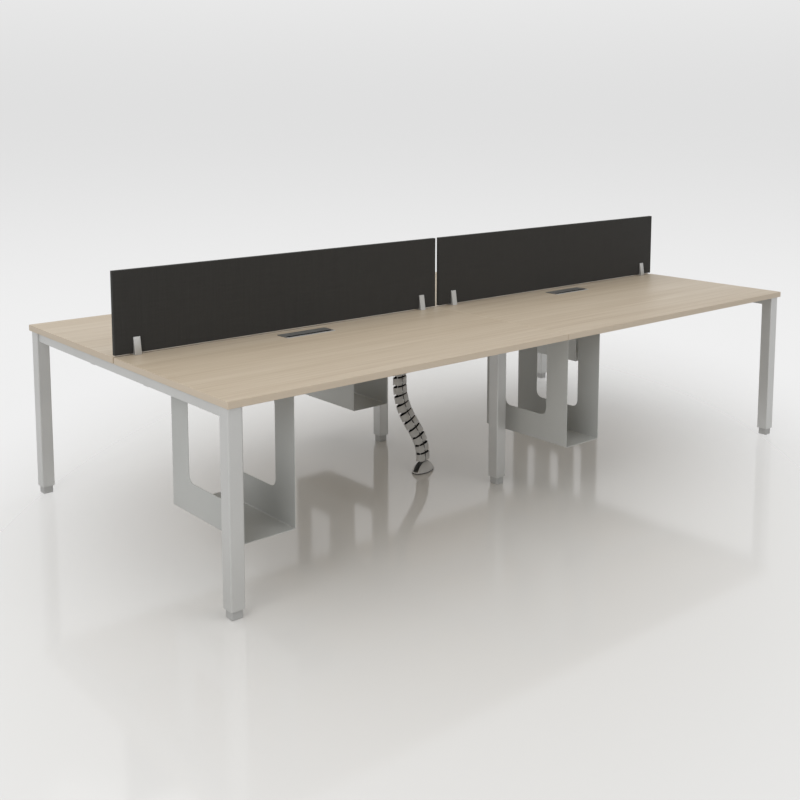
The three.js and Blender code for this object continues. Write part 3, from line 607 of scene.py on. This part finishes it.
def riser_base():
    """Weighted oval dome on a black ring, with a cup for the last ball and a dark notch for the cables."""
    joint = riser_places()[-1][1]
    stance = Matrix.Translation(joint) @ Matrix.Rotation(SHELL_AZIMUTH, 4, "Z")
    oval = stance @ Matrix.Diagonal((1, BASE_WIDTH / BASE_LENGTH, 1, 1))
    floor = -BASE_HEIGHT - BASE_BALL_RISE
    ring_top = floor + BASE_RIM - RING_GAP
    reach = BASE_LENGTH / 2
    bm = bmesh.new()
    turned(bm, [
        (0, ring_top), (reach - DOME_EDGE, ring_top), *dome_flank(floor), (0, -BASE_BALL_RISE),
    ], BASE_STEPS)
    bmesh.ops.transform(bm, matrix=oval, verts=list(bm.verts))
    dome = made("riser_base_dome", bm, "riser_base", "riser_plastic", RISER_GREY)
    cut = bmesh.new()
    notch_low = (-reach - CUT_EXCESS, -NOTCH_WIDTH / 2, floor + NOTCH_FLOOR)
    block(cut, notch_low, (-CUP_RADIUS, NOTCH_WIDTH / 2, NOTCH_TOP), NOTCH_EDGE)
    well = (CUP_RADIUS + CUP_CAVITY) / 2
    seat = CUP_FLOOR + CUP_SEAT
    turned(cut, [(0, seat), (well, seat), (well, CUT_EXCESS), (0, CUT_EXCESS)], CORE_STEPS)
    bmesh.ops.transform(cut, matrix=stance, verts=list(cut.verts))
    carved(dome, made("base_cutter", cut, "riser_base", "riser_plastic", RISER_DARK))
    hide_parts("riser_base")
    cup = bmesh.new()
    turned(cup, [(0, CUP_FLOOR), (CUP_RADIUS, CUP_FLOOR), *cup_rim()], CORE_STEPS)
    bmesh.ops.transform(cup, matrix=stance, verts=list(cup.verts))
    made("riser_base_cup", cup, "riser_base", "riser_plastic", RISER_BLACK)
    ring = bmesh.new()
    low, high = floor + BASE_LIFT, ring_top - RING_PLAY
    outside = reach - RING_SET_BACK
    turned(ring, [
        (0, low), (outside - RING_EDGE, low), (outside, low + RING_EDGE),
        (outside, ring_top - RING_EDGE), (outside - RING_EDGE, high), (0, high),
    ], BASE_STEPS)
    bmesh.ops.transform(ring, matrix=oval, verts=list(ring.verts))
    made("riser_base_ring", ring, "riser_base", "riser_plastic", RISER_BLACK)


# Power boxes

SEATS = {"near_left": (-800.5, -1), "near_right": (800.5, -1), "far_right": (800.5, 1), "far_left": (-800.5, 1)}
TOP_LEVEL = 732 * MM
POWER_OFFSET = 100 * MM


def seat_place(seat):
    """Where a seat's power box stands. Its own -Y side faces the user."""
    x, side = SEATS[seat]
    turn = Matrix.Rotation(0 if side < 0 else math.pi, 4, "Z")
    return Matrix.Translation((x * MM, side * POWER_OFFSET, TOP_LEVEL)) @ turn


SOCKET_LEVEL = -63 * MM
SOCKET_PITCH = 58 * MM
SOCKET_COUNT = 3
SOCKET_STEPS = 40
SOCKET_PROFILE = [
    (0, 0.2), (18.4, 0.2), (18.4, 8.2), (17.8, 8.8), (16.8, 8.8), (16.4, 2.6), (15.4, 2), (0, 2)]
PIN_PROFILE = [(0, 0.8), (2.6, 0.8), (2.6, 4), (0, 4)]
PIN_OFFSET = 9.5 * MM
PIN_STEPS = 16
SPRING_OFFSET = 14.6 * MM
SPRING_LEVEL = 2.1 * MM
SPRING_SIZE = Vector((4, 1, 5.5)) * MM
SPRING_EDGE = 0.3 * MM


def socket_faces(seat):
    """Round socket inserts: a rim, a face with two pin holes, and two earth springs."""
    bm = bmesh.new()
    holes = bmesh.new()
    springs = bmesh.new()
    for index in range(SOCKET_COUNT):
        middle = Vector(((index - (SOCKET_COUNT - 1) / 2) * SOCKET_PITCH, 0, SOCKET_LEVEL))
        shift = Matrix.Translation(middle)
        moved(bm, turned(bm, in_metres(SOCKET_PROFILE), SOCKET_STEPS), shift)
        for side in (-1, 1):
            hole = turned(holes, in_metres(PIN_PROFILE), PIN_STEPS)
            moved(holes, hole, shift @ Matrix.Translation((side * PIN_OFFSET, 0, 0)))
            spring = middle + Vector((-SPRING_SIZE.x / 2, side * SPRING_OFFSET - SPRING_SIZE.y / 2, SPRING_LEVEL))
            block(springs, spring, spring + SPRING_SIZE, SPRING_EDGE)
    place = seat_place(seat)
    bmesh.ops.transform(bm, matrix=place, verts=list(bm.verts))
    bmesh.ops.transform(holes, matrix=place, verts=list(holes.verts))
    piece = made(f"{seat}_sockets", bm, "desk", "tub_plastic", SOCKET_BLACK)
    carved(piece, made(f"{seat}_pin_holes", holes, "desk", "tub_plastic", RISER_BLACK))
    bmesh.ops.transform(springs, matrix=place, verts=list(springs.verts))
    made(f"{seat}_earth_springs", springs, "desk", "clamp_aluminium", ZINC)


BRUSH_HALF_LENGTH = 100.5 * MM
BRUSH_BACK_LOW = (-31.9 * MM, -2.4 * MM)
BRUSH_BACK_HIGH = (-29.4 * MM, 0.4 * MM)
BRUSH_BACK_EDGE = 0.3 * MM
TUFT_PITCH = 1.5 * MM
TUFT_WIDTH = 1.2 * MM
TUFT_LOW = (-29.6 * MM, -1.8 * MM)
TUFT_HIGH = (-21.6 * MM, 0)
TUFT_EDGE = 0.15 * MM
TUFT_SWAY = 0.35 * MM


def brush_strip(seat):
    """Bristles across the cable slot, held in a strip on the user's side of the box."""
    bm = bmesh.new()
    block(bm, (-BRUSH_HALF_LENGTH, *BRUSH_BACK_LOW), (BRUSH_HALF_LENGTH, *BRUSH_BACK_HIGH), BRUSH_BACK_EDGE)
    count = int(2 * BRUSH_HALF_LENGTH / TUFT_PITCH)
    tuft_middle = (TUFT_LOW[0] + TUFT_HIGH[0]) / 2
    for index in range(count):
        x = -BRUSH_HALF_LENGTH + (index + 0.5) * TUFT_PITCH
        sway = TUFT_SWAY * math.sin(2.4 * index)
        tuft = block(bm, (x - TUFT_WIDTH / 2, *TUFT_LOW), (x + TUFT_WIDTH / 2, *TUFT_HIGH), TUFT_EDGE)
        tip = [vert for vert in tuft if vert.co.y > tuft_middle]
        bmesh.ops.translate(bm, vec=(sway, -abs(sway), sway / 2), verts=tip)
    bmesh.ops.transform(bm, matrix=seat_place(seat), verts=list(bm.verts))
    made(f"{seat}_brush_strip", bm, "desk", "tub_plastic", BRISTLE)


EDGE_STRIP_HALF_LENGTH = 109.5 * MM
EDGE_STRIP_OUTLINE = [(-21.5, 0.4), (-21.1, 0.4), (-21.1, 2.35), (-14.5, 2.35), (-14.5, 2.95), (-21.5, 2.95)]
EDGE_STRIP_ROUNDING = 0.12 * MM


def lid_edge_strip(seat):
    """Thin dark strip laid over the free edge of a lid, across its top and down its front."""
    bm = bmesh.new()
    corners = [bm.verts.new((-EDGE_STRIP_HALF_LENGTH, y, z)) for y, z in in_metres(EDGE_STRIP_OUTLINE)]
    end = bm.faces.new(corners)
    run = bmesh.ops.extrude_face_region(bm, geom=[end], use_keep_orig=True)["geom"]
    moved(bm, run, Matrix.Translation((2 * EDGE_STRIP_HALF_LENGTH, 0, 0)))
    bmesh.ops.recalc_face_normals(bm, faces=list(bm.faces))
    bmesh.ops.bevel(bm, geom=list(bm.edges), offset=EDGE_STRIP_ROUNDING, segments=2, profile=0.5, affect="EDGES", material=-1)
    bmesh.ops.transform(bm, matrix=seat_place(seat), verts=list(bm.verts))
    made(f"{seat}_lid_edge_strip", bm, f"{seat}_power_lid", "tub_plastic", LID_EDGE_DARK)


# Fasteners and caps, with sizes and points in millimetres

SCREW_HEAD = [(0, 0.9), (1.6, 0.9), (1.6, 2.2), (2.9, 2.2), (3.9, 1.5), (4.2, 0.6), (4.2, 0), (0, 0)]
SCREW_STEPS = 16
DOWN = (0, 0, -1)


def box_mm(name):
    """The lowest and the highest corner of a solid's box, in millimetres."""
    low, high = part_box(name)
    return low / MM, high / MM


def block_mm(bm, low, high, edge):
    """A block from sizes in millimetres."""
    block(bm, Vector(low) * MM, Vector(high) * MM, edge * MM)


def screws(name, places, size=1.0, slot="clamp_aluminium"):
    """Pan-head screws with a round drive. Each place is a point and the direction that its head faces."""
    bm = bmesh.new()
    for point, facing in places:
        head = turned(bm, in_metres(SCREW_HEAD, size), SCREW_STEPS)
        turn = Vector((0, 0, 1)).rotation_difference(Vector(facing)).to_matrix().to_4x4()
        moved(bm, head, Matrix.Translation(Vector(point) * MM) @ turn)
    made(name, bm, "desk", slot, ZINC)


HOLDER_SHEET = 2
FLANGE_MIDDLE = 9
HOLDER_SCREW_INSET = 60


def holder_screws():
    """Six screws up through the flanges of each holder."""
    for name in nodes:
        if name.endswith("_computer_holder"):
            low, high = box_mm(name)
            across = (low.x + FLANGE_MIDDLE, high.x - FLANGE_MIDDLE)
            along = (low.y + HOLDER_SCREW_INSET, (low.y + high.y) / 2, high.y - HOLDER_SCREW_INSET)
            spots = [(x, y, high.z - HOLDER_SHEET) for x in across for y in along]
            screws(f"{name}_screws", [(spot, DOWN) for spot in spots])


RAIL_SCREW_SHARES = (0.12, 0.37, 0.63, 0.88)


def rail_screws():
    """Four screws up through each rail."""
    for name in nodes:
        if name.endswith("_rail"):
            low, high = box_mm(name)
            middle = (low.y + high.y) / 2
            spots = [(low.x + (high.x - low.x) * share, middle, low.z) for share in RAIL_SCREW_SHARES]
            screws(f"{name}_screws", [(spot, DOWN) for spot in spots], slot="frame_paint")


CLAMP_FOOT_DEPTH = 25.3
CLAMP_SLOPE_DEPTH = 11
CLAMP_SLOPE_HEIGHT = 67.7
CLAMP_LIFT = 0.3
CLAMP_SCREW_RISES = (26, 50)
CLAMP_SCREW_SINK = 0.6


def clamp_screws():
    """Two small screws in the far cheek of each clamp."""
    facing = Vector((0, CLAMP_SLOPE_HEIGHT, CLAMP_SLOPE_DEPTH)).normalized()
    for name in nodes:
        if name.endswith("_clamp"):
            low, high = box_mm(name)
            middle = (low.x + high.x) / 2
            spots = []
            for rise in CLAMP_SCREW_RISES:
                depth = CLAMP_FOOT_DEPTH - CLAMP_SLOPE_DEPTH * (rise - CLAMP_LIFT) / CLAMP_SLOPE_HEIGHT
                spots.append(((middle, depth - CLAMP_SCREW_SINK, low.z - CLAMP_LIFT + rise), facing))
            screws(f"{name}_screws", spots, size=0.8)


CAP_FLANGE = (0.1, 2.6)
CAP_PLUG = (-14, 0.3)
CAP_EDGE = 1.0
BEAM_WALL = 2.4


def beam_caps():
    """Plugs in the open ends of the middle beam."""
    low, high = box_mm("middle_cross_beam")
    for label, end, out in (("near", low.y, -1), ("far", high.y, 1)):
        bm = bmesh.new()
        for span, inset in ((CAP_FLANGE, 0), (CAP_PLUG, BEAM_WALL)):
            start, stop = sorted(end + out * reach for reach in span)
            corner_low = (low.x + inset, start, low.z + inset)
            corner_high = (high.x - inset, stop, high.z - inset)
            block_mm(bm, corner_low, corner_high, CAP_EDGE)
        made(f"middle_beam_{label}_cap", bm, "desk", "foot_paint", FOOT_PAINT)


RAIL_LINE = 220
PLATE_INSET = 4
PLATE_REACH = 76
PLATE_HALF_WIDTH = 17
PLATE_TOP = 0.2
PLATE_BOTTOM = 3.2
PLATE_EDGE = 0.8
PLATE_SCREW_INSET = 12
PLATE_SCREW_OFFSET = 9


def corner_plates():
    """Steel plates under the frame, which tie each rail to the beam that it meets."""
    reaches = {
        "left": (PLATE_INSET, PLATE_REACH),
        "middle": (-PLATE_REACH, PLATE_REACH),
        "right": (-PLATE_REACH, -PLATE_INSET),
    }
    for station, (before, after) in reaches.items():
        low, high = box_mm(f"{station}_cross_beam")
        start, end = low.x + before, high.x + after
        under = low.z - PLATE_BOTTOM
        for side, y in (("near", -RAIL_LINE), ("far", RAIL_LINE)):
            bm = bmesh.new()
            corner_high = (end, y + PLATE_HALF_WIDTH, low.z - PLATE_TOP)
            block_mm(bm, (start, y - PLATE_HALF_WIDTH, under), corner_high, PLATE_EDGE)
            plate = made(f"{station}_{side}_corner_plate", bm, "desk", "frame_paint", FRAME_COAT)
            spots = [(x, y + shift, under) for x in (start + PLATE_SCREW_INSET, end - PLATE_SCREW_INSET)
                     for shift in (-PLATE_SCREW_OFFSET, PLATE_SCREW_OFFSET)]
            screws(f"{plate.name}_screws", [(spot, DOWN) for spot in spots], size=0.9, slot="frame_paint")


riser_vertebrae()
riser_base()
for seat_name in SEATS:
    socket_faces(seat_name)
    brush_strip(seat_name)
    lid_edge_strip(seat_name)
holder_screws()
rail_screws()
clamp_screws()
beam_caps()
corner_plates()


# Studio

FLOOR_REACH = 60
FADE_CENTRE = (-0.2, -0.22, 0)
FADE_TURN = (0, 0, math.radians(41))
FADE_RADII = (2.8, 1.65, 1)
FADE_START = 0.34
FADE_END = 1.48
FADE_MOST = 0.99


def polished_floor():
    """Pale lacquered floor that mirrors the legs softly and fades into the background away from the desk."""
    bm = bmesh.new()
    bmesh.ops.create_grid(bm, x_segments=4, y_segments=4, size=FLOOR_REACH)
    mesh = bpy.data.meshes.new("floor")
    bm.to_mesh(mesh)
    bm.free()
    lacquer = Finish("floor_lacquer", roughness=0.09)
    lacquer.shader.inputs["Base Color"].default_value = tone(228, 226, 222)
    inputs = {"Vector": lacquer.place, "Location": FADE_CENTRE, "Rotation": FADE_TURN, "Scale": FADE_RADII}
    place = lacquer.node("ShaderNodeMapping", inputs, vector_type="TEXTURE").outputs[0]
    away = lacquer.node("ShaderNodeVectorMath", {0: place}, operation="LENGTH").outputs["Value"]
    inputs = {"Value": away, "From Min": FADE_START, "From Max": FADE_END, "To Max": FADE_MOST}
    fade = lacquer.node("ShaderNodeMapRange", inputs, interpolation_type="SMOOTHSTEP").outputs[0]
    clear = lacquer.node("ShaderNodeBsdfTransparent", {}).outputs[0]
    mixed = lacquer.node("ShaderNodeMixShader", {0: fade, 1: lacquer.shader.outputs[0], 2: clear}).outputs[0]
    lacquer.tree.links.new(mixed, lacquer.tree.nodes["Material Output"].inputs["Surface"])
    mesh.materials.append(lacquer.material)
    floor = bpy.data.objects.new("floor", mesh)
    scene.collection.objects.link(floor)


STEEP = 0.2


def studio_world(light, level_seen, sloping_seen):
    """Even light from all round, and a pale background behind the object and in its gloss, darkest at eye level."""
    world = bpy.data.worlds.new("studio")
    scene.world = world
    world.use_nodes = True
    tree = world.node_tree
    lit = tree.nodes["Background"]
    lit.inputs["Color"].default_value = (1, 1, 1, 1)
    lit.inputs["Strength"].default_value = light
    direction = added(tree, "ShaderNodeTexCoord", {}).outputs["Generated"]
    upward = added(tree, "ShaderNodeSeparateXYZ", {0: direction}).outputs["Z"]
    slope = added(tree, "ShaderNodeMath", {0: upward}, operation="ABSOLUTE").outputs[0]
    inputs = {"Value": slope, "From Max": STEEP}
    height = added(tree, "ShaderNodeMapRange", inputs, interpolation_type="SMOOTHSTEP").outputs[0]
    shade = added(tree, "ShaderNodeValToRGB", {0: height})
    shade.color_ramp.elements[0].color = level_seen
    shade.color_ramp.elements[1].color = sloping_seen
    seen = added(tree, "ShaderNodeBackground", {"Color": shade.outputs[0]}).outputs[0]
    rays = added(tree, "ShaderNodeLightPath", {}).outputs
    inputs = {0: rays["Is Camera Ray"], 1: rays["Is Glossy Ray"]}
    looked_at = added(tree, "ShaderNodeMath", inputs, operation="MAXIMUM").outputs[0]
    inputs = {0: looked_at, 1: rays["Is Transmission Ray"]}
    clear = added(tree, "ShaderNodeMath", inputs, operation="MAXIMUM").outputs[0]
    mixed = added(tree, "ShaderNodeMixShader", {0: clear, 1: lit.outputs[0], 2: seen}).outputs[0]
    tree.links.new(mixed, tree.nodes["World Output"].inputs["Surface"])


def softbox(name, place, aim, size, power):
    """A rectangular lamp turned to a point."""
    lamp = bpy.data.lights.new(name, "AREA")
    lamp.shape = "RECTANGLE"
    lamp.size, lamp.size_y = size
    lamp.energy = power
    box = bpy.data.objects.new(name, lamp)
    box.location = place
    box.rotation_euler = (Vector(aim) - Vector(place)).to_track_quat("-Z", "Y").to_euler()
    scene.collection.objects.link(box)


def photograph_camera():
    """At the photograph's angle, for a square picture. The photograph's own camera is level, with a larger shift.
    This one is tilted, so that the smaller shift keeps the desk inside the other views too."""
    pitch, yaw = math.radians(6.854), math.radians(-40.176)
    camera = bpy.data.cameras.new("camera")
    camera.lens = 48.87
    camera.sensor_width = 36
    camera.shift_y = -0.2
    holder = bpy.data.objects.new("camera", camera)
    holder.location = (-3.3211, -3.6765, 1.6388)
    holder.rotation_euler = (math.pi / 2 - pitch, 0, yaw)
    scene.collection.objects.link(holder)
    scene.camera = holder


polished_floor()
studio_world(light=0.5, level_seen=tone(224, 224, 224), sloping_seen=tone(240, 240, 240))
softbox("ceiling_softbox", place=(-0.4, 0.7, 4.2), aim=(0, 0.3, 0), size=(6.0, 5.0), power=68)
softbox("left_softbox", place=(-5.2, -2.4, 3.4), aim=(-0.4, 0, 0.6), size=(3.2, 3.0), power=80)
softbox("front_softbox", place=(1.6, -5.2, 4.4), aim=(0, 0, 0.5), size=(3.6, 3.0), power=40)
photograph_camera()
scene.view_settings.view_transform = "Standard"
